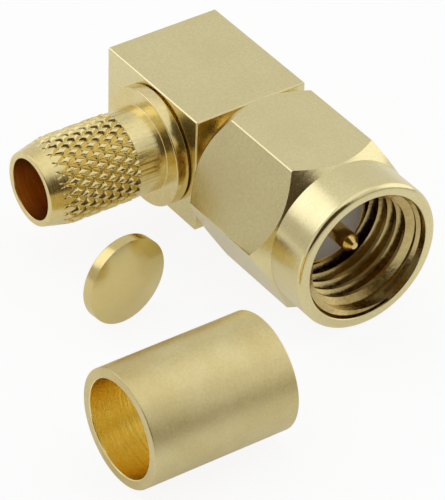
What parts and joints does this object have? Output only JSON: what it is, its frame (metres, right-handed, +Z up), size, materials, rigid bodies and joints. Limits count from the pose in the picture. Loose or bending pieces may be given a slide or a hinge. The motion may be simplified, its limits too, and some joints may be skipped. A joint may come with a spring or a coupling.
{
  "type": "right-angle crimp coaxial plug",
  "caption": "Right-angle crimp SMA plug: square body, hexagon coupling nut on a snap ring, knurled cable stem, with loose crimp ferrule and domed access cap.",
  "frame": {"origin": "on the coupling axis, in the mating plane where the front of the outer contact meets the other half", "axes": "+X along the coupling axis towards the mating half, -Y along the cable stem away from the body, +Z up"},
  "size_m": [0.0233, 0.0205, 0.008],
  "materials": {
    "plated_body": "gold plate on brass, fine satin with bright edges",
    "plated_bright": "gold plate on brass, turned and bright",
    "plated_ferrule": "gold plate on annealed tube, matt satin",
    "ptfe": "white, slightly waxy"
  },
  "bodies": {
    "connector": {"body_block": "plated_body", "outer_contact": "plated_bright", "dielectric": "ptfe", "centre_contact": "plated_bright", "crimp_stem": "plated_bright", "crimp_ferrule": "plated_ferrule", "access_cap": "plated_bright"},
    "ring": {"snap_ring": "plated_bright"},
    "nut": {"coupling_nut": "plated_body"}
  },
  "joints": [
    {"name": "coupling_float", "type": "slide", "parent": "connector", "child": "ring", "axis": [1, 0, 0], "range_m": [-0.0001, 0.0001]},
    {"name": "nut_turn", "type": "hinge", "parent": "ring", "child": "nut", "pos_m": [0, 0, 0], "axis": [1, 0, 0], "continuous": true}
  ]
}
